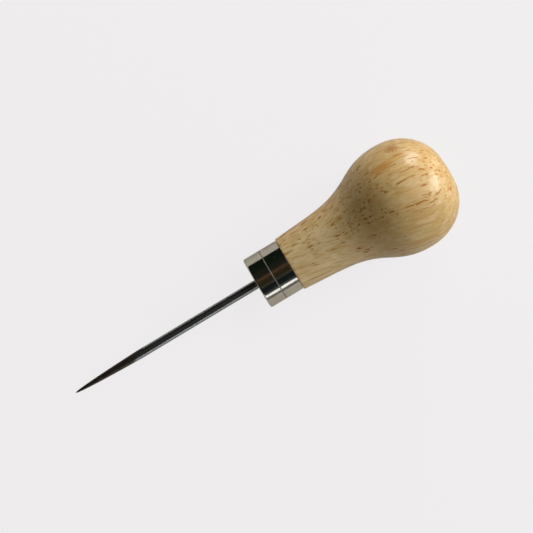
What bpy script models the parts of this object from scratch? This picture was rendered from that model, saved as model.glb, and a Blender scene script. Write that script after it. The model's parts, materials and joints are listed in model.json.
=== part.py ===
"""Scratch awl: a turned ball-end handle, a drawn metal ferrule and a round steel blade.

Each piece is drawn along the tool's own axis, which is the object's local Z, as an outline of
(radius, station) points. The station is the distance from the blade's point. An empty at the
point then lays the tool down at rest on the ground, on its blade near the point and on the
belly of its knob.
The world's origin is on the ground under the middle of the tool. Units are metres.
"""

import math

import bmesh
import bpy
from mathutils import Matrix, Vector
from mathutils.geometry import interpolate_bezier

MM = 0.001

# The whole tool
OVERALL_LENGTH = 127.0 * MM
BLADE_SHOWING = 61.9 * MM

# Blade: one round rod, ground to a point in front and given two flats behind. The point's
# radius grows with the distance from its tip raised to the power POINT_FULLNESS.
SHANK_RADIUS = 1.36 * MM
POINT_LENGTH = 21.8 * MM
POINT_FULLNESS = 0.48
TANG_LENGTH = 32.0 * MM
TANG_CHAMFER = 0.4 * MM
TANG_FLAT_LENGTH = 12.0 * MM
TANG_FLAT_THICKNESS = 1.9 * MM

# Ferrule: a thin cup, closed round the blade and open towards the wood
FERRULE_LENGTH = 11.05 * MM
FERRULE_RADIUS = 8.05 * MM
FERRULE_WALL = 0.35 * MM
FERRULE_CORNER = 0.45 * MM
FERRULE_LIP = 0.05 * MM
GROOVE_FROM_FACE = 5.35 * MM
GROOVE_WIDTH = 0.25 * MM
GROOVE_DEPTH = 0.03 * MM

# The prick punch mark that sets the ferrule into the wood
PUNCH_FROM_FACE = 6.5 * MM
PUNCH_BALL_RADIUS = 0.3 * MM
PUNCH_DEPTH = 0.12 * MM
PUNCH_ANGLE = math.radians(69.0)

# Handle: butt, knob, flare and neck, with a spigot for the ferrule and a hole for the tang
BUTT_DOME_RADIUS = 4.9 * MM
BUTT_DOME_RISE = 0.33 * MM
KNOB_RADIUS = 16.87 * MM
KNOB_STATION = 111.4 * MM
FLARE_RADIUS = 12.93 * MM
FLARE_STATION = 98.2 * MM
FLARE_SLOPE = 0.53
SHOULDER_RADIUS = 8.46 * MM
SHOULDER_SLOPE = 0.075
SHOULDER_CHAMFER = 0.15 * MM
BUTT_REACH = 5.0 * MM
KNOB_REACH_BACK = 10.0 * MM
KNOB_REACH_FRONT = 6.65 * MM
FLARE_REACH_BACK = 3.5 * MM
FLARE_REACH_FRONT = 7.7 * MM
SHOULDER_REACH = 14.4 * MM
SPIGOT_CHAMFER = 0.5 * MM
BORE_RADIUS = 1.9 * MM
BORE_PAST_TANG = 1.6 * MM
DRILL_POINT_ANGLE = math.radians(118.0)

# Clearances: pieces that touch, and the cement's two faces
FIT_GAP = 0.1 * MM

# Fineness of the turned surfaces
HANDLE_SIDES = 48
BLADE_SIDES = 24
DOME_RINGS = 3
KNOB_RINGS = 13
FLARE_RINGS = 9
NECK_RINGS = 8
POINT_RINGS = 12
CORNER_RINGS = 5
SHARP_ANGLE = math.radians(30.0)

# Turns of the search for the place where the tool rests
REST_STEPS = 5

# Places that follow from the dimensions above
FERRULE_FACE = BLADE_SHOWING
FERRULE_END = FERRULE_FACE + FERRULE_LENGTH
FERRULE_BORE = FERRULE_RADIUS - FERRULE_WALL
SPIGOT_END = FERRULE_FACE + FERRULE_WALL + FIT_GAP
SPIGOT_RADIUS = FERRULE_BORE - FIT_GAP
SHOULDER_STATION = FERRULE_END + FIT_GAP
TANG_END = BLADE_SHOWING + TANG_LENGTH
BORE_END = TANG_END + BORE_PAST_TANG
CEMENT_RADIUS = BORE_RADIUS - FIT_GAP


def clear_scene():
    for old in list(bpy.data.objects):
        bpy.data.objects.remove(old, do_unlink=True)


def new_collection(name):
    collection = bpy.data.collections.new(name)
    bpy.context.scene.collection.children.link(collection)
    return collection


def new_material(name, colour, roughness, metallic):
    material = bpy.data.materials.new(name)
    material.use_nodes = True
    shader = material.node_tree.nodes["Principled BSDF"]
    shader.inputs["Base Color"].default_value = (*colour, 1.0)
    shader.inputs["Roughness"].default_value = roughness
    shader.inputs["Metallic"].default_value = metallic
    return material


def add_object(name, mesh, collection, parent):
    piece = bpy.data.objects.new(name, mesh)
    piece.parent = parent
    collection.objects.link(piece)
    return piece


def turned(name, outline, sides, collection, parent):
    """A solid turned about local Z from an outline that runs down its outer side first.

    The outline starts and ends on the axis, or it is closed if it starts away from the axis.
    """
    points = [(radius, 0.0, station) for radius, station in outline]
    edges = [(i, i + 1) for i in range(len(points) - 1)]
    if points[0][0] > 0.0:
        edges.append((len(points) - 1, 0))
    mesh = bpy.data.meshes.new(name)
    mesh.from_pydata(points, edges, [])
    piece = add_object(name, mesh, collection, parent)
    screw = piece.modifiers.new("Turn", "SCREW")
    screw.axis = "Z"
    screw.steps = sides
    screw.render_steps = sides
    screw.use_merge_vertices = True
    screw.merge_threshold = 0.001 * MM
    screw.use_smooth_shade = True
    return piece


def block(name, size, centre, collection, parent):
    mesh = bpy.data.meshes.new(name)
    shape = bmesh.new()
    bmesh.ops.create_cube(shape, size=1.0, matrix=Matrix.LocRotScale(centre, None, size))
    shape.to_mesh(mesh)
    shape.free()
    return add_object(name, mesh, collection, parent)


def ball(name, radius, centre, collection, parent):
    mesh = bpy.data.meshes.new(name)
    shape = bmesh.new()
    bmesh.ops.create_uvsphere(
        shape, u_segments=12, v_segments=8, radius=radius, matrix=Matrix.Translation(centre)
    )
    shape.to_mesh(mesh)
    shape.free()
    return add_object(name, mesh, collection, parent)


def cut(piece, cutter):
    cutter.hide_render = True
    cutter.display_type = "WIRE"
    boolean = piece.modifiers.new("Cut " + cutter.name, "BOOLEAN")
    boolean.operation = "DIFFERENCE"
    boolean.solver = "EXACT"
    boolean.object = cutter


def finish_surface(piece, material):
    """Keeps the evaluated shape as the piece's own mesh, smooth between its sharp edges."""
    evaluated = piece.evaluated_get(bpy.context.evaluated_depsgraph_get())
    mesh = bpy.data.meshes.new_from_object(evaluated)
    mesh.name = piece.name
    piece.modifiers.clear()
    piece.data = mesh
    mesh.shade_smooth()
    mesh.set_sharp_from_angle(angle=SHARP_ANGLE)
    mesh.materials.clear()
    mesh.materials.append(material)


def handle_outside():
    """The turned wood that shows: the butt's shallow dome, the knob, the flare and the neck."""
    dome = [
        (
            BUTT_DOME_RADIUS * i / DOME_RINGS,
            OVERALL_LENGTH - BUTT_DOME_RISE * (i / DOME_RINGS) ** 2,
        )
        for i in range(DOME_RINGS)
    ]
    rim = Vector((BUTT_DOME_RADIUS, OVERALL_LENGTH - BUTT_DOME_RISE))
    knob = Vector((KNOB_RADIUS, KNOB_STATION))
    flare = Vector((FLARE_RADIUS, FLARE_STATION))
    shoulder = Vector((SHOULDER_RADIUS, SHOULDER_STATION + SHOULDER_CHAMFER))
    back = Vector((0.0, 1.0))
    rim_way = Vector((BUTT_DOME_RADIUS, -2.0 * BUTT_DOME_RISE)).normalized()
    flare_way = Vector((FLARE_SLOPE, 1.0)).normalized()
    shoulder_way = Vector((SHOULDER_SLOPE, 1.0)).normalized()
    butt_arc = interpolate_bezier(
        rim, rim + rim_way * BUTT_REACH, knob + back * KNOB_REACH_BACK, knob, KNOB_RINGS
    )
    flare_arc = interpolate_bezier(
        knob,
        knob - back * KNOB_REACH_FRONT,
        flare + flare_way * FLARE_REACH_BACK,
        flare,
        FLARE_RINGS,
    )
    neck_arc = interpolate_bezier(
        flare,
        flare - flare_way * FLARE_REACH_FRONT,
        shoulder + shoulder_way * SHOULDER_REACH,
        shoulder,
        NECK_RINGS,
    )
    return dome + [tuple(point) for point in butt_arc + flare_arc[1:] + neck_arc[1:]]


def handle_outline():
    """The whole handle: outside, shoulder, spigot, then up the blind hole to its drill point."""
    drill_point = BORE_RADIUS / math.tan(DRILL_POINT_ANGLE / 2.0)
    return handle_outside() + [
        (SHOULDER_RADIUS - SHOULDER_CHAMFER, SHOULDER_STATION),
        (SPIGOT_RADIUS, SHOULDER_STATION),
        (SPIGOT_RADIUS, SPIGOT_END + SPIGOT_CHAMFER),
        (SPIGOT_RADIUS - SPIGOT_CHAMFER, SPIGOT_END),
        (BORE_RADIUS, SPIGOT_END),
        (BORE_RADIUS, BORE_END),
        (0.0, BORE_END + drill_point),
    ]


def corner(radius, outer_radius, face):
    """A quarter round from the cup's side, at outer_radius, down to its flat face."""
    turns = [math.radians(90.0) * i / (CORNER_RINGS - 1) for i in range(CORNER_RINGS)]
    centre = Vector((outer_radius - radius, face + radius))
    return [
        (centre.x + radius * math.cos(turn), centre.y - radius * math.sin(turn)) for turn in turns
    ]


def ferrule_outline():
    """The cup's section: lip, side with its groove, rounded corner, face, and back up inside."""
    groove = FERRULE_FACE + GROOVE_FROM_FACE
    blade_hole = SHANK_RADIUS + FIT_GAP
    inner_face = FERRULE_FACE + FERRULE_WALL
    inner_corner = corner(FERRULE_CORNER - FERRULE_WALL, FERRULE_BORE, inner_face)
    return [
        (FERRULE_RADIUS - FERRULE_LIP, FERRULE_END),
        (FERRULE_RADIUS, FERRULE_END - FERRULE_LIP),
        (FERRULE_RADIUS, groove + GROOVE_WIDTH / 2.0),
        (FERRULE_RADIUS - GROOVE_DEPTH, groove),
        (FERRULE_RADIUS, groove - GROOVE_WIDTH / 2.0),
        *corner(FERRULE_CORNER, FERRULE_RADIUS, FERRULE_FACE),
        (blade_hole, FERRULE_FACE),
        (blade_hole, inner_face),
        *reversed(inner_corner),
        (FERRULE_BORE, FERRULE_END),
    ]


def blade_outline():
    """The rod from the tang's end down to the shank, then the ground point's full curve."""
    shares = [(1.0 - i / POINT_RINGS) ** 2 for i in range(POINT_RINGS + 1)]
    return [
        (0.0, TANG_END),
        (SHANK_RADIUS - TANG_CHAMFER, TANG_END),
        (SHANK_RADIUS, TANG_END - TANG_CHAMFER),
        *[(SHANK_RADIUS * share**POINT_FULLNESS, POINT_LENGTH * share) for share in shares],
    ]


def tang_flats(name, gap, collection, parent):
    """Two blocks that cut the end of a tang flat, and leave it thicker by gap on each side."""
    thickness = TANG_FLAT_THICKNESS + 2.0 * gap
    depth = 2.0 * SHANK_RADIUS
    length = TANG_FLAT_LENGTH + depth
    size = Vector((depth, 2.0 * depth, length))
    offset = (thickness + depth) / 2.0
    station = TANG_END - TANG_FLAT_LENGTH + gap + length / 2.0
    low = block(name + "_low", size, Vector((offset, 0.0, station)), collection, parent)
    high = block(name + "_high", size, Vector((-offset, 0.0, station)), collection, parent)
    return low, high


def lay_down(blade, handle):
    """The tilt and the place of the tool's point, with the tool at rest on the ground.

    The tool touches the ground at one place near the blade's point and one under the knob.
    """
    rest = (0.0, 0.0)
    for _ in range(REST_STEPS):
        tilt = max(math.atan2(radius - rest[0], station - rest[1]) for radius, station in handle)
        sine = math.sin(tilt)
        cosine = math.cos(tilt)
        rest = max(blade, key=lambda point: point[0] * cosine - point[1] * sine)
    height = rest[0] * cosine - rest[1] * sine
    reach = max(station * cosine + radius * sine for radius, station in handle)
    return tilt, Vector((-reach / 2.0, 0.0, height))


def build():
    clear_scene()
    parts = new_collection("scratch_awl")
    cutters = new_collection("cutters")

    tilt, point_place = lay_down(blade_outline(), handle_outside())
    tool_axis = bpy.data.objects.new("tool_axis", None)
    tool_axis.location = point_place
    tool_axis.rotation_euler = (0.0, math.radians(90.0) - tilt, 0.0)
    parts.objects.link(tool_axis)

    handle = turned("handle", handle_outline(), HANDLE_SIDES, parts, tool_axis)
    ferrule = turned("ferrule", ferrule_outline(), HANDLE_SIDES, parts, tool_axis)
    blade = turned("blade", blade_outline(), BLADE_SIDES, parts, tool_axis)

    punch_reach = FERRULE_RADIUS + PUNCH_BALL_RADIUS - PUNCH_DEPTH
    punch_centre = Vector(
        (
            -punch_reach * math.cos(PUNCH_ANGLE),
            punch_reach * math.sin(PUNCH_ANGLE),
            FERRULE_FACE + PUNCH_FROM_FACE,
        )
    )
    cut(ferrule, ball("punch", PUNCH_BALL_RADIUS, punch_centre, cutters, tool_axis))

    for flat in tang_flats("tang_flat", 0.0, cutters, tool_axis):
        cut(blade, flat)

    # The cement fills the hole round the tang and past its end
    cement = turned(
        "tang_cement",
        [
            (0.0, BORE_END - FIT_GAP),
            (CEMENT_RADIUS, BORE_END - FIT_GAP),
            (CEMENT_RADIUS, SPIGOT_END + FIT_GAP),
            (0.0, SPIGOT_END + FIT_GAP),
        ],
        BLADE_SIDES,
        parts,
        tool_axis,
    )
    tang_room = turned(
        "tang_room",
        [
            (0.0, TANG_END + FIT_GAP),
            (SHANK_RADIUS + FIT_GAP, TANG_END + FIT_GAP),
            (SHANK_RADIUS + FIT_GAP, FERRULE_FACE),
            (0.0, FERRULE_FACE),
        ],
        BLADE_SIDES,
        cutters,
        tool_axis,
    )
    for flat in tang_flats("room_flat", FIT_GAP, cutters, tool_axis):
        cut(tang_room, flat)
    cut(cement, tang_room)

    finish_surface(handle, new_material("lacquered_wood", (0.70, 0.50, 0.24), 0.35, 0.0))
    finish_surface(ferrule, new_material("nickel_plate", (0.72, 0.70, 0.66), 0.08, 1.0))
    finish_surface(blade, new_material("polished_steel", (0.46, 0.46, 0.47), 0.25, 1.0))
    finish_surface(cement, new_material("epoxy", (0.55, 0.45, 0.25), 0.3, 0.0))


build()
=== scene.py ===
"""Scratch awl: the looks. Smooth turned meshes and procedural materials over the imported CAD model.

The tool lies on the floor on its blade near the point and on the belly of its knob. Each piece is
made in the tool's own coordinates, in millimetres, and then laid in the frame's place: its +Z runs
from the blade's point to the butt, its +X faces down and its Y is level.
"""

import json
import math

import bmesh
import bpy
from mathutils import Matrix, Vector, noise
from mathutils.geometry import interpolate_bezier


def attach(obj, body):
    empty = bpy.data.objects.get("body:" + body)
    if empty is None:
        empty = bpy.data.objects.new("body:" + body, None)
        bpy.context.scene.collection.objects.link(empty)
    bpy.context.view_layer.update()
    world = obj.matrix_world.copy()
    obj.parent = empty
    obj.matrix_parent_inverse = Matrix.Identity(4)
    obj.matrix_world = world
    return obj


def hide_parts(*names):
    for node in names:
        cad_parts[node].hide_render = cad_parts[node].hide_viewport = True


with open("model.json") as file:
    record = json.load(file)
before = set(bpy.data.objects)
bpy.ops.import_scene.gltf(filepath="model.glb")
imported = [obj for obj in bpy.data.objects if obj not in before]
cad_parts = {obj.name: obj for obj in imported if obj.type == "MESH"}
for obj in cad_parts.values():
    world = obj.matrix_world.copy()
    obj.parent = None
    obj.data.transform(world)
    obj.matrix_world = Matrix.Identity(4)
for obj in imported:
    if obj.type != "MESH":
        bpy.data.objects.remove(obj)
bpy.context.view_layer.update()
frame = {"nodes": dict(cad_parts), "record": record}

MM = 0.001

# ---------------------------------------------------------------- dimensions, in millimetres
OVERALL_LENGTH = 127.0
BLADE_SHOWING = 61.9

SHANK_RADIUS = 1.36
POINT_LENGTH = 21.8
POINT_FULLNESS = 0.48
TANG_LENGTH = 32.0
TANG_CHAMFER = 0.4
TANG_FLAT_LENGTH = 12.0
TANG_FLAT_THICKNESS = 1.9
TANG_FLAT_STEP = 0.02

FERRULE_LENGTH = 11.05
FERRULE_RADIUS = 8.05
FERRULE_WALL = 0.35
FERRULE_CORNER = 0.45
FERRULE_LIP = 0.05
BLADE_HOLE_GAP = 0.1
GROOVE_FROM_FACE = 5.35
GROOVE_WIDTH = 0.25
GROOVE_DEPTH = 0.03
PUNCH_FROM_FACE = 6.5
PUNCH_RADIUS = 0.32
PUNCH_DEPTH = 0.12
PUNCH_ANGLE = math.radians(69.0)

BUTT_DOME_RADIUS = 4.9
BUTT_DOME_RISE = 0.33
KNOB_RADIUS = 16.87
KNOB_STATION = 111.4
FLARE_RADIUS = 12.93
FLARE_STATION = 98.2
FLARE_SLOPE = 0.53
SHOULDER_RADIUS = 8.46
SHOULDER_SLOPE = 0.075
SHOULDER_ROUND = 0.15
BUTT_REACH = 5.0
KNOB_REACH_BACK = 10.0
KNOB_REACH_FRONT = 6.65
FLARE_REACH_BACK = 3.5
FLARE_REACH_FRONT = 7.7
SHOULDER_REACH = 14.4
SPIGOT_CHAMFER = 0.5
BORE_RADIUS = 1.9
BORE_LENGTH = 33.6
FIT_GAP = 0.1

FERRULE_END = BLADE_SHOWING + FERRULE_LENGTH
SHOULDER_STATION = FERRULE_END + FIT_GAP
SPIGOT_END = BLADE_SHOWING + FERRULE_WALL + FIT_GAP
SPIGOT_RADIUS = FERRULE_RADIUS - FERRULE_WALL - FIT_GAP
BORE_END = BLADE_SHOWING + BORE_LENGTH
TANG_END = BLADE_SHOWING + TANG_LENGTH
TANG_FLAT_START = TANG_END - TANG_FLAT_LENGTH
DRILL_POINT = BORE_RADIUS / math.tan(math.radians(59.0))

# ---------------------------------------------------------------- fineness of the meshes
HANDLE_SIDES = 256
FERRULE_SIDES = 256
BLADE_SIDES = 96
DOME_RINGS = 24
KNOB_RINGS = 60
FLARE_RINGS = 38
NECK_RINGS = 60
POINT_RINGS = 70
SHANK_RINGS = 50
SHARP_ANGLE = math.radians(35.0)

# ---------------------------------------------------------------- where the tool lies
# The mount is on the ferrule's flat face, a little above the blade
MOUNT_FROM_AXIS = 4.5
face_mount = next(m for m in frame["record"]["mounts"] if m["name"] == "ferrule_face")
TOOL_AXIS = -Vector(face_mount["axis"]).normalized()
LEVEL = Vector((0.0, 1.0, 0.0))
DOWNWARD = LEVEL.cross(TOOL_AXIS)
POINT_FROM_MOUNT = DOWNWARD * MOUNT_FROM_AXIS - TOOL_AXIS * BLADE_SHOWING
TOOL_POINT = Vector(face_mount["pos_m"]) + POINT_FROM_MOUNT * MM
TOOL_TURN = Matrix((DOWNWARD, LEVEL, TOOL_AXIS))
TOOL_PLACE = Matrix.Translation(TOOL_POINT) @ TOOL_TURN.transposed().to_4x4()


# ---------------------------------------------------------------- mesh tools
def even_turns(count):
    return [2.0 * math.pi * i / count for i in range(count)]


def turned(name, outline, turns, relief=None):
    """A solid turned from (radius, station) points in mm that run down its outer side first.

    The outline starts and ends on the axis, or closes on itself if it starts off the axis.
    relief(radius, station, turn) gives how far a point stands out from the outline.
    """
    points = []
    rings = []
    for radius, station in outline:
        if radius == 0.0:
            rings.append([len(points)] * len(turns))
            points.append((0.0, 0.0, station * MM))
            continue
        rings.append(list(range(len(points), len(points) + len(turns))))
        for turn in turns:
            out = radius + (relief(radius, station, turn) if relief else 0.0)
            points.append((out * math.cos(turn) * MM, out * math.sin(turn) * MM, station * MM))
    if outline[0][0] > 0.0:
        rings.append(rings[0])
    faces = []
    for upper, lower in zip(rings, rings[1:]):
        for i in range(len(turns)):
            j = (i + 1) % len(turns)
            corners = [upper[i], lower[i], lower[j], upper[j]]
            faces.append(list(dict.fromkeys(corners)))
    mesh = bpy.data.meshes.new(name)
    mesh.from_pydata(points, [], faces)
    mesh.shade_smooth()
    mesh.set_sharp_from_angle(angle=SHARP_ANGLE)
    mesh.transform(TOOL_PLACE)
    piece = bpy.data.objects.new(name, mesh)
    bpy.context.scene.collection.objects.link(piece)
    return piece


def arc(centre, radius, start, end, count):
    """Points round centre (radius, station) from angle start to end, in degrees."""
    angles = [math.radians(start + (end - start) * i / (count - 1)) for i in range(count)]
    return [(centre[0] + radius * math.cos(a), centre[1] + radius * math.sin(a)) for a in angles]


def straight(start, end, count):
    """Points from start towards end, without the end."""
    return [
        (start[0] + (end[0] - start[0]) * i / count, start[1] + (end[1] - start[1]) * i / count)
        for i in range(count)
    ]


def finish_piece(piece, material, node):
    piece.data.materials.append(material)
    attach(piece, "root")
    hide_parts(node)


# ---------------------------------------------------------------- material tools
class Graph:
    """A material's nodes, with short calls that add a node and link it."""

    def __init__(self, name):
        self.material = bpy.data.materials.new(name)
        self.material.use_nodes = True
        self.tree = self.material.node_tree
        self.shader = self.tree.nodes["Principled BSDF"]

    def feed(self, socket, value):
        if isinstance(value, bpy.types.NodeSocket):
            self.tree.links.new(value, socket)
        else:
            socket.default_value = value

    def node(self, kind, inputs=None, **settings):
        made = self.tree.nodes.new("ShaderNode" + kind)
        for name, value in settings.items():
            setattr(made, name, value)
        for key, value in (inputs or {}).items():
            self.feed(made.inputs[key], value)
        return made

    def surface(self, **inputs):
        """Sets or links the shader's inputs: base_color is Base Color, and so on."""
        for name, value in inputs.items():
            socket = name.replace("_", " ").title().replace("Ior", "IOR")
            self.feed(self.shader.inputs[socket], value)

    def place(self):
        """The point on the piece in the tool's coordinates, in millimetres."""
        here = self.node("TexCoord").outputs["Object"]
        apart = self.vector("SUBTRACT", here, TOOL_POINT)
        return self.joined(*[self.along(apart, way / MM) for way in TOOL_TURN])

    def math(self, operation, first, second=0.0, third=0.0):
        return self.node("Math", {0: first, 1: second, 2: third}, operation=operation).outputs[0]

    def vector(self, operation, first, second, third=(0.0, 0.0, 0.0)):
        inputs = {0: first, 1: second, 2: third}
        return self.node("VectorMath", inputs, operation=operation).outputs["Vector"]

    def measure(self, operation, first, second=(0.0, 0.0, 0.0)):
        return self.node("VectorMath", {0: first, 1: second}, operation=operation).outputs["Value"]

    def along(self, place, direction):
        return self.measure("DOT_PRODUCT", place, direction)

    def joined(self, x, y, z):
        return self.node("CombineXYZ", {"X": x, "Y": y, "Z": z}).outputs[0]

    def scaled(self, place, scale):
        return self.vector("MULTIPLY", place, scale)

    def parts(self, place):
        """The X, Y and Z of a place, as outputs by name."""
        return self.node("SeparateXYZ", {0: place}).outputs

    def noise(self, place, scale, detail=2.0, roughness=0.5, output="Fac"):
        inputs = {"Vector": place, "Scale": scale, "Detail": detail, "Roughness": roughness}
        return self.node("TexNoise", inputs).outputs[output]

    def fade(self, value, low, high, to_low=0.0, to_high=1.0):
        """A smooth step of value from low to high, given out as to_low to to_high."""
        inputs = {"Value": value, 1: low, 2: high, 3: to_low, 4: to_high}
        return self.node("MapRange", inputs, interpolation_type="SMOOTHSTEP").outputs[0]

    def blend(self, share, first, second):
        """A colour between first and second, which are outputs or plain colours."""
        colours = [(*c, 1.0) if isinstance(c, tuple) else c for c in (first, second)]
        inputs = {0: share, 6: colours[0], 7: colours[1]}
        return self.node("Mix", inputs, data_type="RGBA").outputs[2]

    def bump(self, height, distance, strength=1.0, normal=None):
        inputs = {"Height": height, "Distance": distance * MM, "Strength": strength}
        if normal is not None:
            inputs["Normal"] = normal
        return self.node("Bump", inputs).outputs[0]


# ---------------------------------------------------------------- handle
def handle_outline():
    """The turned outside from the butt down to the shoulder, the spigot, and the blind hole."""
    dome = [
        (BUTT_DOME_RADIUS * share, OVERALL_LENGTH - BUTT_DOME_RISE * share**2)
        for share in (i / DOME_RINGS for i in range(DOME_RINGS))
    ]
    rim = Vector((BUTT_DOME_RADIUS, OVERALL_LENGTH - BUTT_DOME_RISE))
    knob = Vector((KNOB_RADIUS, KNOB_STATION))
    flare = Vector((FLARE_RADIUS, FLARE_STATION))
    shoulder = Vector((SHOULDER_RADIUS, SHOULDER_STATION + SHOULDER_ROUND))
    back = Vector((0.0, 1.0))
    rim_way = Vector((BUTT_DOME_RADIUS, -2.0 * BUTT_DOME_RISE)).normalized()
    flare_way = Vector((FLARE_SLOPE, 1.0)).normalized()
    shoulder_way = Vector((SHOULDER_SLOPE, 1.0)).normalized()
    butt_arc = interpolate_bezier(
        rim, rim + rim_way * BUTT_REACH, knob + back * KNOB_REACH_BACK, knob, KNOB_RINGS
    )
    flare_arc = interpolate_bezier(
        knob,
        knob - back * KNOB_REACH_FRONT,
        flare + flare_way * FLARE_REACH_BACK,
        flare,
        FLARE_RINGS,
    )
    neck_arc = interpolate_bezier(
        flare,
        flare - flare_way * FLARE_REACH_FRONT,
        shoulder + shoulder_way * SHOULDER_REACH,
        shoulder,
        NECK_RINGS,
    )
    outside = dome + [tuple(point) for point in butt_arc + flare_arc[1:] + neck_arc[1:]]
    shoulder_centre = (SHOULDER_RADIUS - SHOULDER_ROUND, SHOULDER_STATION + SHOULDER_ROUND)
    return (
        outside
        + arc(shoulder_centre, SHOULDER_ROUND, 0.0, -90.0, 5)[1:]
        + [
            (SPIGOT_RADIUS, SHOULDER_STATION),
            (SPIGOT_RADIUS, SPIGOT_END + SPIGOT_CHAMFER),
            (SPIGOT_RADIUS - SPIGOT_CHAMFER, SPIGOT_END),
            (BORE_RADIUS, SPIGOT_END),
            (BORE_RADIUS, BORE_END),
            (0.0, BORE_END + DRILL_POINT),
        ]
    )


SANDING_HEIGHT = 0.03
SANDING_SIZE = 9.0


def sanding(radius, station, turn):
    """The slight unevenness that hand sanding leaves on the turned wood that shows."""
    if radius < SHOULDER_RADIUS - SHOULDER_ROUND and station < BORE_END + DRILL_POINT:
        return 0.0
    here = Vector((radius * math.cos(turn), radius * math.sin(turn), station)) / SANDING_SIZE
    return SANDING_HEIGHT * noise.noise(here)


# The grain leaves the tool's axis by about 13 degrees, downwards and towards -Y
GRAIN = Vector((0.18, -0.14, 0.973)).normalized()
ACROSS = GRAIN.cross(Vector((1.0, 0.0, 0.0))).normalized()
THROUGH = GRAIN.cross(ACROSS)
WOOD_PALE = (0.86, 0.665, 0.36)
WOOD_GOLD = (0.635, 0.422, 0.160)
WOOD_LIGHT = (0.88, 0.70, 0.40)
WOOD_ORANGE = (0.60, 0.32, 0.075)
FIBRE_BROWN = (0.55, 0.335, 0.10)
PORE_BROWN = (0.37, 0.145, 0.025)
FLUSH_ORANGE = (0.60, 0.29, 0.065)
KNOT_BROWN = (0.43, 0.19, 0.04)
END_GRAIN_AND_HOLLOW_SHADE_BROWN = (0.30, 0.18, 0.07)
SHOULDER_STAIN = (0.50, 0.27, 0.09)

# How fine each pattern is across, through and along the grain, per millimetre
WANDER_SCALE = (0.16, 0.16, 0.06)
ZONE_SCALE = (0.22, 0.34, 0.03)
FIBRE_SCALE = (1.5, 1.5, 0.09)
STREAK_SCALE = (0.7, 0.7, 0.04)
MOTTLE_SCALE = (0.5, 0.5, 0.16)
DRIFT_SCALE = (0.14, 0.14, 0.02)
BREAK_SCALE = (0.9, 0.9, 0.09)

# How far the grain wanders to each side, and which place in the tree the wood comes from
WANDER_REACH = (3.6, 3.6, 0.0)
WOOD_SAMPLE = (-88.0, 20.0, -120.0)

# Large and small vessels: their spacing and their radius, and how far the small ones are shifted
LARGE_CELL, LARGE_VESSEL = 1.20, 0.19
SMALL_CELL, SMALL_VESSEL = 0.75, 0.125
SMALL_SHIFT = (7.3, 4.1, 0.0)

# The stations between which each zone of the handle fades in
NECK_ZONE = (95.0, 86.0)
HOLLOW_FRONT = (90.0, 99.0)
HOLLOW_BACK = (109.0, 104.0)
BUTT_ZONE = (112.0, 119.0)
GOLD_ZONE = (84.0, 101.0)
BOLD_ZONE = (86.0, 104.0)

# How far to the sides the vessels thin out, and where the neck gets warmer
SPARSE_SIDE = (-6.0, 1.0)
WARM_SIDE = (3.5, 7.5)

KNOT_PLACE = (-9.2, 13.5, 115.5)
KNOT_RADIUS = 2.5
KNOT_CORE = 0.7
FLUSH_PLACE = (-13.3, 10.2, 109.0)
FLUSH_SHAPE = (ACROSS * 0.45, THROUGH * 0.45, GRAIN * 0.14)
STAIN_WIDTH = 0.7


def vessels(g, grain, cell, radius, share, swelling):
    """Vessels seen along the grain: how far a point is inside one, and inside its stained rim."""
    cells = g.node(
        "TexVoronoi",
        {"Vector": grain, "Scale": 1.0 / cell, "Randomness": 1.0},
        voronoi_dimensions="2D",
        feature="F1",
    )
    pick = g.node("SeparateColor", {"Color": cells.outputs["Color"]}).outputs
    chosen = g.math("LESS_THAN", pick["Red"], share)
    broken = g.noise(g.scaled(grain, BREAK_SCALE), 1.0, 1.0)
    size = g.math("MULTIPLY_ADD", pick["Green"], 0.9, 0.55)
    reach = g.math("MULTIPLY", size, g.fade(broken, 0.36, 0.54, 0.0, radius / cell))
    reach = g.math("MULTIPLY", reach, swelling)
    inside = g.math("SUBTRACT", reach, cells.outputs["Distance"])
    core = g.math("MULTIPLY", g.fade(inside, -0.05, 0.10), chosen)
    rim = g.math("MULTIPLY", g.fade(inside, -0.24, 0.02), chosen)
    return core, rim


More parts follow.
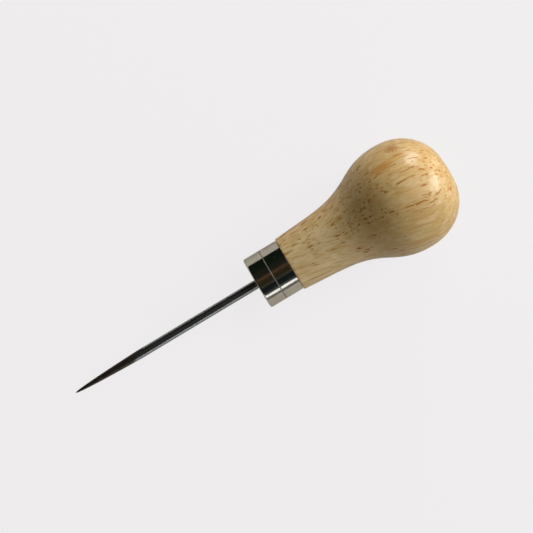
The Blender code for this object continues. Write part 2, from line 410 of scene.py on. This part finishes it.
def wood_material():
    g = Graph("lacquered_wood")
    place = g.place()
    axes = g.parts(place)
    across, station = axes["Y"], axes["Z"]
    straight_grain = g.joined(*[g.along(place, way) for way in (ACROSS, THROUGH, GRAIN)])

    # The grain wanders slowly from side to side as it runs along
    wander = g.noise(g.scaled(straight_grain, WANDER_SCALE), 1.0, 3.0, 0.6, "Color")
    offset = g.scaled(g.vector("SUBTRACT", wander, (0.5, 0.5, 0.5)), WANDER_REACH)
    grain = g.vector("ADD", g.vector("ADD", straight_grain, offset), WOOD_SAMPLE)

    # Vessels crowd together in broad growth zones: fewer towards -Y, more on the neck and the butt
    zone = g.noise(g.scaled(grain, ZONE_SCALE), 1.0, 2.0, 0.55)
    aside = g.fade(across, *SPARSE_SIDE, -0.13, 0.05)
    neck = g.fade(station, *NECK_ZONE)
    butt = g.fade(station, *BUTT_ZONE)
    crowding = g.math("MULTIPLY_ADD", neck, 0.05, g.math("ADD", zone, aside))
    crowding = g.fade(g.math("MULTIPLY_ADD", butt, 0.08, crowding), 0.38, 0.60)

    # They stand open where the surface cuts across the grain: in the hollow and at the butt
    hollow = g.math("MULTIPLY", g.fade(station, *HOLLOW_FRONT), g.fade(station, *HOLLOW_BACK))
    # The same mask darkens the colour further down: end grain at the butt, and painted shade in the
    # hollow
    open_grain_and_hollow_shade = g.math("MAXIMUM", hollow, butt)
    opened = g.math("MAXIMUM", open_grain_and_hollow_shade, g.math("MULTIPLY", neck, 0.35))
    crowding = g.math("MULTIPLY", crowding, g.math("MULTIPLY_ADD", opened, 0.40, 0.60))
    swelling = g.math("MULTIPLY_ADD", opened, 0.40, 1.0)
    large_share = g.math("MULTIPLY_ADD", crowding, 0.75, 0.15)
    large, large_rim = vessels(g, grain, LARGE_CELL, LARGE_VESSEL, large_share, swelling)
    shifted = g.vector("ADD", grain, SMALL_SHIFT)
    small_share = g.math("MULTIPLY_ADD", crowding, 0.50, 0.10)
    small, small_rim = vessels(g, shifted, SMALL_CELL, SMALL_VESSEL, small_share, 1.0)
    pore = g.math("MAXIMUM", large, g.math("MULTIPLY", small, 0.85))
    rim = g.math("MAXIMUM", large_rim, g.math("MULTIPLY", small_rim, 0.7))

    # Fibres, streaks and slow drifts of colour, all drawn out along the grain
    fibre = g.noise(g.scaled(grain, FIBRE_SCALE), 1.0, 4.0, 0.65)
    streak = g.noise(g.scaled(grain, STREAK_SCALE), 1.0, 2.0, 0.5)
    mottle = g.noise(g.scaled(grain, MOTTLE_SCALE), 1.0, 3.0, 0.6)
    drift = g.noise(g.scaled(grain, DRIFT_SCALE), 1.0, 2.0, 0.5)

    # The neck is paler and quieter than the knob
    tone = g.math("ADD", g.fade(station, *GOLD_ZONE), g.math("MULTIPLY_ADD", drift, 1.2, -0.65))
    colour = g.blend(tone, WOOD_PALE, WOOD_GOLD)
    colour = g.blend(g.fade(mottle, 0.62, 0.36, 0.0, 0.40), colour, WOOD_LIGHT)
    depth = g.fade(station, *BOLD_ZONE, 0.50, 0.66)
    colour = g.blend(g.math("MULTIPLY", g.fade(streak, 0.50, 0.70), depth), colour, WOOD_ORANGE)
    colour = g.blend(g.math("MULTIPLY", g.fade(fibre, 0.40, 0.72), depth), colour, FIBRE_BROWN)

    # One side of the neck is warmer
    warm = g.math("MULTIPLY", g.fade(across, *WARM_SIDE), g.math("MULTIPLY", neck, 0.50))
    warm = g.math("MULTIPLY", warm, g.fade(streak, 0.35, 0.60, 0.35, 1.0))
    colour = g.blend(warm, colour, WOOD_ORANGE)

    # A flush of orange streaks on the knob, near a small knot
    from_flush = g.vector("SUBTRACT", place, FLUSH_PLACE)
    drawn_out = g.joined(*[g.along(from_flush, way) for way in FLUSH_SHAPE])
    near_flush = g.fade(g.measure("LENGTH", drawn_out), 1.0, 0.3)
    flush = g.math("MULTIPLY", near_flush, g.fade(fibre, 0.38, 0.60, 0.30, 1.0))
    colour = g.blend(flush, colour, FLUSH_ORANGE)

    from_knot = g.measure("DISTANCE", place, KNOT_PLACE)
    swirl = g.noise(place, 1.9, 4.0, 0.7)
    knot_edge = g.math("MULTIPLY_ADD", swirl, -9.0, g.math("ADD", from_knot, 4.5))
    colour = g.blend(g.fade(knot_edge, KNOT_RADIUS, KNOT_CORE, 0.0, 0.95), colour, KNOT_BROWN)

    colour = g.blend(g.math("MULTIPLY", rim, 0.66), colour, WOOD_ORANGE)
    colour = g.blend(g.math("MULTIPLY", pore, 0.95), colour, PORE_BROWN)

    # End grain drinks more finish and shows darker at the butt, while the darkening in the hollow of
    # the flare is painted shade; some stain has crept in where the wood meets the ferrule
    colour = g.blend(g.math("MULTIPLY", open_grain_and_hollow_shade, 0.16), colour, END_GRAIN_AND_HOLLOW_SHADE_BROWN)
    stain = g.fade(station, SHOULDER_STATION + STAIN_WIDTH, SHOULDER_STATION, 0.0, 0.5)
    colour = g.blend(stain, colour, SHOULDER_STAIN)

    # Thin lacquer follows the fibres a little, sinks into the vessels and hardly shines in them
    height = g.math("SUBTRACT", g.math("MULTIPLY", fibre, 0.35), g.math("MULTIPLY", pore, 0.45))
    lacquer = g.math("MULTIPLY_ADD", fibre, 0.45, g.math("MULTIPLY", pore, -1.0))
    g.surface(
        base_color=colour,
        roughness=g.fade(fibre, 0.3, 0.7, 0.38, 0.50),
        specular_ior_level=0.20,
        coat_weight=g.fade(pore, 0.0, 1.0, 0.66, 0.10),
        coat_roughness=0.10,
        normal=g.bump(height, 0.055, 0.9),
        coat_normal=g.bump(lacquer, 0.40, 1.0),
    )
    return g.material


handle = turned("handle_wood", handle_outline(), even_turns(HANDLE_SIDES), sanding)
finish_piece(handle, wood_material(), "handle")


# ---------------------------------------------------------------- ferrule
def groove_dip(offset):
    """How deep the scribed ring is at this distance along the ferrule from its middle."""
    reach = offset / (GROOVE_WIDTH / 2.0)
    return GROOVE_DEPTH * 0.5 * (1.0 + math.cos(math.pi * reach)) if abs(reach) < 1.0 else 0.0


SIDE_STEP = 0.25
HOLE_EDGE = 0.12
FACE_RINGS = 8
GROOVE_RINGS = 8
PUNCH_REACH = 1.25
PUNCH_RIM_HEIGHT = 0.05
PUNCH_RIM_WIDTH = 0.14


def ferrule_outline():
    """The drawn cup: lip, side with its scribed ring, round corner, face, and back up inside."""
    groove = BLADE_SHOWING + GROOVE_FROM_FACE
    punch = BLADE_SHOWING + PUNCH_FROM_FACE
    inner_radius = FERRULE_RADIUS - FERRULE_WALL
    inner_corner = FERRULE_CORNER - FERRULE_WALL
    blade_hole = SHANK_RADIUS + BLADE_HOLE_GAP
    corner_top = BLADE_SHOWING + FERRULE_CORNER
    lip_centre = (FERRULE_RADIUS - FERRULE_LIP, FERRULE_END - FERRULE_LIP)
    corner_centre = (FERRULE_RADIUS - FERRULE_CORNER, corner_top)
    inner_centre = (inner_radius - inner_corner, corner_top)
    face_rim = (FERRULE_RADIUS - FERRULE_CORNER, BLADE_SHOWING)
    hole_rim = (blade_hole + HOLE_EDGE, BLADE_SHOWING)
    hole_centre = (blade_hole + HOLE_EDGE, BLADE_SHOWING + HOLE_EDGE)

    stations = {FERRULE_END - FERRULE_LIP - SIDE_STEP * i for i in range(1, 39)}
    stations |= {groove + GROOVE_WIDTH * (i / GROOVE_RINGS - 0.5) for i in range(GROOVE_RINGS + 1)}
    stations |= {punch + PUNCH_RADIUS * (i / 6.0 - 1.2) for i in range(15)}
    side = [(FERRULE_RADIUS - groove_dip(s - groove), s) for s in sorted(stations, reverse=True)]
    return (
        arc(lip_centre, FERRULE_LIP, 90.0, 0.0, 6)
        + side
        + arc(corner_centre, FERRULE_CORNER, 0.0, -90.0, 16)
        + straight(face_rim, hole_rim, FACE_RINGS)[1:]
        + arc(hole_centre, HOLE_EDGE, -90.0, -180.0, 5)
        + [(blade_hole, BLADE_SHOWING + FERRULE_WALL)]
        + arc(inner_centre, inner_corner, -90.0, 0.0, 8)
        + [(inner_radius, FERRULE_END)]
    )


def ferrule_turns():
    """Even steps round the ferrule, with finer ones across the punch mark."""
    middle = math.pi - PUNCH_ANGLE
    fine = PUNCH_RADIUS / FERRULE_RADIUS
    extra = [middle + fine * (i / 8.0 - PUNCH_REACH) for i in range(21)]
    coarse = [t for t in even_turns(FERRULE_SIDES) if abs(t - middle) > 1.3 * fine]
    return sorted(coarse + extra)


def punch_mark(radius, station, turn):
    """The prick punch's dent in the ferrule's side, with the little rim that it throws up."""
    if radius < FERRULE_RADIUS - GROOVE_DEPTH:
        return 0.0
    across = (turn - (math.pi - PUNCH_ANGLE)) * FERRULE_RADIUS
    distance = math.hypot(across, station - BLADE_SHOWING - PUNCH_FROM_FACE) / PUNCH_RADIUS
    if distance > PUNCH_REACH:
        return 0.0
    dent = max(0.0, 1.0 - distance) ** 0.8
    rim = math.exp(-(((distance - 1.0) / PUNCH_RIM_WIDTH) ** 2))
    return PUNCH_RIM_HEIGHT * rim - PUNCH_DEPTH * dent


NICKEL_CLEAN = (0.69, 0.66, 0.61)
NICKEL_SMEARED = (0.53, 0.48, 0.41)
DUST_GREY = (0.85, 0.84, 0.80)
RING_GREY = (0.19, 0.185, 0.175)


def nickel_material():
    g = Graph("nickel_plate")
    place = g.place()
    axes = g.parts(place)
    turn = g.math("ARCTAN2", axes["Y"], axes["X"])

    # Polishing lines run round the ferrule, under smears and slight waves of the thin metal
    around = g.joined(g.math("MULTIPLY", turn, 0.7), g.math("MULTIPLY", axes["Z"], 14.0), 0.0)
    lines = g.noise(around, 1.0, 3.0, 0.6)
    smear = g.noise(g.scaled(place, (0.5, 0.5, 0.35)), 1.0, 3.0, 0.6)
    wave = g.noise(g.scaled(place, (0.30, 0.30, 0.22)), 1.0, 2.0, 0.5)

    # Specks of dust, and fine scratches at every angle
    dust = g.node("TexVoronoi", {"Vector": place, "Scale": 1.3}, feature="F1").outputs
    speck_size = g.node("SeparateColor", {"Color": dust["Color"]}).outputs["Red"]
    speck = g.fade(g.math("MULTIPLY_ADD", speck_size, -0.13, dust["Distance"]), 0.03, -0.03)
    bent = g.noise(place, 0.8, 1.0, output="Color")
    crossing = g.vector("MULTIPLY_ADD", bent, (5.0, 5.0, 5.0), place)
    scratch_cells = g.node(
        "TexVoronoi", {"Vector": g.scaled(crossing, (0.9, 0.9, 0.7))}, feature="DISTANCE_TO_EDGE"
    )
    scratch = g.fade(scratch_cells.outputs["Distance"], 0.022, 0.0)

    # Dull metal and dirt in the scribed ring
    from_ring = g.math("SUBTRACT", axes["Z"], BLADE_SHOWING + GROOVE_FROM_FACE)
    ring = g.fade(g.math("ABSOLUTE", from_ring), GROOVE_WIDTH * 0.75, GROOVE_WIDTH * 0.45)

    colour = g.blend(g.fade(smear, 0.45, 0.80, 0.0, 0.30), NICKEL_CLEAN, NICKEL_SMEARED)
    colour = g.blend(g.math("MULTIPLY", speck, 0.4), colour, DUST_GREY)
    colour = g.blend(g.math("MULTIPLY", ring, 0.85), colour, RING_GREY)

    height = g.math("MULTIPLY_ADD", speck, 0.8, lines)
    height = g.math("MULTIPLY_ADD", scratch, -0.7, height)
    normal = g.bump(height, 0.002, 0.35, g.bump(wave, 0.06, 0.4))

    roughness = g.fade(smear, 0.3, 0.8, 0.045, 0.13)
    for mark, roughening in ((ring, 0.45), (speck, 0.3), (scratch, 0.10)):
        roughness = g.math("MULTIPLY_ADD", mark, roughening, roughness)
    g.surface(base_color=colour, metallic=1.0, roughness=roughness, normal=normal)
    return g.material


ferrule = turned("ferrule_cup", ferrule_outline(), ferrule_turns(), punch_mark)
finish_piece(ferrule, nickel_material(), "ferrule")


# ---------------------------------------------------------------- blade
def blade_outline():
    """The tang's end, the straight shank and the full curve of the ground point."""
    shares = [(1.0 - i / POINT_RINGS) ** 2 for i in range(POINT_RINGS + 1)]
    return (
        [
            (0.0, TANG_END),
            (SHANK_RADIUS - TANG_CHAMFER, TANG_END),
            (SHANK_RADIUS, TANG_END - TANG_CHAMFER),
            (SHANK_RADIUS, TANG_FLAT_START + TANG_FLAT_STEP),
        ]
        + straight((SHANK_RADIUS, TANG_FLAT_START), (SHANK_RADIUS, POINT_LENGTH), SHANK_RINGS)
        + [(SHANK_RADIUS * share**POINT_FULLNESS, POINT_LENGTH * share) for share in shares]
    )


def tang_flats(radius, station, turn):
    """The two flats at the tang's end, one facing down and one facing up."""
    half = TANG_FLAT_THICKNESS / 2.0
    reach = abs(radius * math.cos(turn))
    if station <= TANG_FLAT_START or reach <= half:
        return 0.0
    return radius * (half / reach - 1.0)


SHANK_CLEAN = (0.43, 0.47, 0.51)
SHANK_DULL = (0.32, 0.34, 0.35)
SHANK_ROOT_SHADE = (0.20, 0.18, 0.17)
POINT_GREY = (0.135, 0.115, 0.10)
POINT_BROWN = (0.080, 0.062, 0.052)
ROOT_SHADE_ZONE = (BLADE_SHOWING - 9.0, BLADE_SHOWING - 1.0)


def steel_material():
    g = Graph("polished_steel")
    place = g.place()
    axes = g.parts(place)
    turn = g.math("ARCTAN2", axes["Y"], axes["X"])

    # The grinding reaches further back towards +Y, and its edge is ragged
    slant = g.math("MULTIPLY_ADD", axes["Y"], 2.0, POINT_LENGTH - 0.4)
    ragged = g.noise(place, 1.4, 2.0)
    edge = g.math("MULTIPLY_ADD", ragged, 1.2, g.math("SUBTRACT", slant, axes["Z"]))
    ground = g.fade(edge, -0.6, 1.6)

    # Drawing lines run along the shank, and the wheel's lines run round the point
    lengthwise = g.joined(g.math("MULTIPLY", turn, 3.5), g.math("MULTIPLY", axes["Z"], 0.25), 0.0)
    drawn = g.noise(lengthwise, 1.0, 4.0, 0.65)
    around = g.joined(g.math("MULTIPLY", turn, 0.6), g.math("MULTIPLY", axes["Z"], 6.0), 0.0)
    wheel = g.noise(around, 1.0, 4.0, 0.7)
    stain = g.noise(g.scaled(place, (0.9, 0.9, 0.30)), 1.0, 4.0, 0.6)

    shank = g.blend(g.fade(stain, 0.45, 0.75, 0.0, 0.35), SHANK_CLEAN, SHANK_DULL)
    # Painted shade: the shank's colour darkens towards the ferrule
    shank = g.blend(g.fade(axes["Z"], *ROOT_SHADE_ZONE, 0.0, 0.5), shank, SHANK_ROOT_SHADE)
    point = g.blend(g.fade(stain, 0.40, 0.70), POINT_GREY, POINT_BROWN)
    scratches = g.blend(ground, drawn, wheel)
    g.surface(
        base_color=g.blend(ground, shank, point),
        metallic=1.0,
        roughness=g.math("MULTIPLY_ADD", ground, 0.17, g.fade(drawn, 0.3, 0.7, 0.19, 0.26)),
        normal=g.bump(scratches, 0.012, g.math("MULTIPLY_ADD", ground, 0.5, 0.25)),
    )
    return g.material


blade = turned("blade_steel", blade_outline(), even_turns(BLADE_SIDES), tang_flats)
finish_piece(blade, steel_material(), "blade")


# ---------------------------------------------------------------- cement round the tang
EPOXY_PALE = (0.58, 0.44, 0.22)
EPOXY_AMBER = (0.46, 0.32, 0.13)


def cement_material():
    g = Graph("cured_epoxy")
    place = g.place()
    cloud = g.noise(place, 0.5, 4.0, 0.6)
    bubbles = g.node("TexVoronoi", {"Vector": place, "Scale": 1.6}).outputs["Distance"]
    g.surface(
        base_color=g.blend(cloud, EPOXY_PALE, EPOXY_AMBER),
        roughness=g.fade(cloud, 0.3, 0.7, 0.22, 0.38),
        normal=g.bump(g.fade(bubbles, 0.0, 0.25), 0.08, 0.4),
    )
    return g.material


cement = frame["nodes"]["tang_cement"]
cement.data.materials.clear()
cement.data.materials.append(cement_material())


# ---------------------------------------------------------------- stage: floor, lights, world
PAPER = (0.847, 0.831, 0.839)
FLOOR_GREY = (0.08, 0.078, 0.078)
FLOOR_WARM = (0.66, 0.635, 0.58)
FLOOR_GLOW = 0.95
FLOOR_SIZE = 8.0
FLOOR_SPACING = 0.05


def floor_sheet(name, height, material):
    mesh = bpy.data.meshes.new(name)
    shape = bmesh.new()
    bmesh.ops.create_grid(shape, x_segments=1, y_segments=1, size=FLOOR_SIZE / 2.0)
    shape.to_mesh(mesh)
    shape.free()
    mesh.materials.append(material)
    sheet = bpy.data.objects.new(name, mesh)
    sheet.location = (0.0, 0.0, height)
    bpy.context.scene.collection.objects.link(sheet)
    return sheet


def paper_material(name, colour, glow=0.0):
    g = Graph(name)
    g.surface(
        base_color=(*colour, 1.0),
        roughness=0.9,
        specular_ior_level=0.0,
        emission_color=(*PAPER, 1.0),
        emission_strength=glow,
    )
    return g.material


# What the camera sees: a pale sheet that glows a little, so that shadows on it stay faint
seen_floor = floor_sheet("floor_seen", 0.0, paper_material("floor_pale", FLOOR_GREY, FLOOR_GLOW))
seen_floor.visible_diffuse = False
seen_floor.visible_glossy = False
seen_floor.visible_shadow = False

# What lights the tool from below and mirrors in it: plain warm paper under the same lights
lit_floor = floor_sheet("floor_lit", -FLOOR_SPACING * MM, paper_material("floor_paper", FLOOR_WARM))
lit_floor.visible_camera = False


DAYLIGHT = (1.0, 0.98, 0.95)
WARM_LIGHT = (1.0, 0.98, 0.94)
COOL_LIGHT = (0.97, 0.99, 1.0)
WINDOW_DISTANCE = 1.0


def window(name, azimuth, elevation, width, height, radiance, colour):
    """A rectangular light that faces the tool. Azimuth turns from +X towards +Y, in degrees."""
    a = math.radians(azimuth)
    e = math.radians(elevation)
    toward = Vector((math.cos(a) * math.cos(e), math.sin(a) * math.cos(e), math.sin(e)))
    data = bpy.data.lights.new(name, "AREA")
    data.shape = "RECTANGLE"
    data.size = width
    data.size_y = height
    data.energy = radiance * math.pi * width * height
    data.color = colour
    lamp = bpy.data.objects.new(name, data)
    lamp.location = toward * WINDOW_DISTANCE
    lamp.rotation_mode = "QUATERNION"
    lamp.rotation_quaternion = toward.to_track_quat("Z", "Y")
    bpy.context.scene.collection.objects.link(lamp)


window("key_window_near", -7.0, 24.0, 0.46, 0.38, 12.6, DAYLIGHT)
window("key_window_far", 45.0, 14.0, 0.32, 0.38, 13.2, DAYLIGHT)
window("high_window", 5.0, 62.0, 1.30, 0.50, 1.9, WARM_LIGHT)
window("low_fill", -55.0, 30.0, 0.50, 0.50, 0.5, WARM_LIGHT)
window("side_strip", -90.0, 19.7, 1.50, 0.20, 1.15, COOL_LIGHT)

# Degrees from overhead, towards +Y, and what the tool mirrors there
SKY_BANDS = [
    (-110.0, (0.38, 0.37, 0.34)),
    (-88.0, (0.18, 0.175, 0.156)),
    (-62.0, (0.10, 0.10, 0.095)),
    (-52.0, (0.012, 0.016, 0.018)),
    (-33.0, (0.007, 0.010, 0.010)),
    (-28.0, (0.030, 0.031, 0.026)),
    (-22.0, (0.050, 0.043, 0.033)),
    (-17.0, (0.022, 0.019, 0.011)),
    (-2.0, (0.032, 0.024, 0.014)),
    (4.0, (0.036, 0.026, 0.015)),
    (6.5, (0.155, 0.078, 0.040)),
    (9.0, (0.036, 0.026, 0.015)),
    (13.0, (0.070, 0.040, 0.024)),
    (17.0, (0.016, 0.016, 0.011)),
    (40.0, (0.0120, 0.0140, 0.0095)),
    (50.0, (0.0063, 0.0105, 0.0065)),
    (88.0, (0.0060, 0.0090, 0.0060)),
    (97.0, (0.010, 0.010, 0.008)),
]


def sky():
    """Dim surroundings in bands along the tool, and plain paper where the camera sees them."""
    world = bpy.data.worlds.new("studio")
    bpy.context.scene.world = world
    world.use_nodes = True
    tree = world.node_tree
    tree.nodes.clear()
    place = tree.nodes.new("ShaderNodeTexCoord")
    axes = tree.nodes.new("ShaderNodeSeparateXYZ")
    angle = tree.nodes.new("ShaderNodeMath")
    angle.operation = "ARCTAN2"
    share = tree.nodes.new("ShaderNodeMapRange")
    share.inputs["From Min"].default_value = -math.pi
    share.inputs["From Max"].default_value = math.pi
    bands = tree.nodes.new("ShaderNodeValToRGB")
    tree.links.new(place.outputs["Generated"], axes.inputs[0])
    tree.links.new(axes.outputs["Y"], angle.inputs[0])
    tree.links.new(axes.outputs["Z"], angle.inputs[1])
    tree.links.new(angle.outputs[0], share.inputs["Value"])
    tree.links.new(share.outputs["Result"], bands.inputs[0])
    ramp = bands.color_ramp
    while len(ramp.elements) < len(SKY_BANDS):
        ramp.elements.new(1.0)
    for element, (degrees, colour) in zip(ramp.elements, SKY_BANDS):
        element.position = (degrees + 180.0) / 360.0
        element.color = (*colour, 1.0)
    surroundings = tree.nodes.new("ShaderNodeBackground")
    tree.links.new(bands.outputs["Color"], surroundings.inputs["Color"])
    backdrop = tree.nodes.new("ShaderNodeBackground")
    backdrop.inputs["Color"].default_value = (*PAPER, 1.0)
    backdrop.inputs["Strength"].default_value = FLOOR_GLOW
    rays = tree.nodes.new("ShaderNodeLightPath")
    pick = tree.nodes.new("ShaderNodeMixShader")
    output = tree.nodes.new("ShaderNodeOutputWorld")
    tree.links.new(rays.outputs["Is Camera Ray"], pick.inputs[0])
    tree.links.new(surroundings.outputs[0], pick.inputs[1])
    tree.links.new(backdrop.outputs[0], pick.inputs[2])
    tree.links.new(pick.outputs[0], output.inputs["Surface"])


sky()
bpy.context.scene.view_settings.view_transform = "Standard"

# ---------------------------------------------------------------- camera
LENS = 250.0
FRAME_WIDTH = 155.75
CAMERA_LEAN = math.radians(7.5)
CAMERA_ROLL = math.radians(31.0)
AIM_ALONG = 66.85
AIM_SIDE = 2.93
FAR_CLIP = 20.0


def make_camera():
    """Nearly overhead, leaning towards the point, with the tool rising to the upper right."""
    data = bpy.data.cameras.new("camera")
    data.lens = LENS
    backward = Vector((-math.sin(CAMERA_LEAN), 0.0, math.cos(CAMERA_LEAN)))
    along = LEVEL.cross(backward)
    right = math.cos(CAMERA_ROLL) * along - math.sin(CAMERA_ROLL) * LEVEL
    up = backward.cross(right)
    aim = TOOL_POINT + TOOL_AXIS * AIM_ALONG * MM + LEVEL * AIM_SIDE * MM
    distance = LENS / data.sensor_width * FRAME_WIDTH * MM
    turn = Matrix((right, up, backward)).transposed()
    camera = bpy.data.objects.new("camera", data)
    camera.matrix_world = Matrix.Translation(aim + backward * distance) @ turn.to_4x4()
    data.clip_end = FAR_CLIP
    bpy.context.scene.collection.objects.link(camera)
    bpy.context.scene.camera = camera


make_camera()
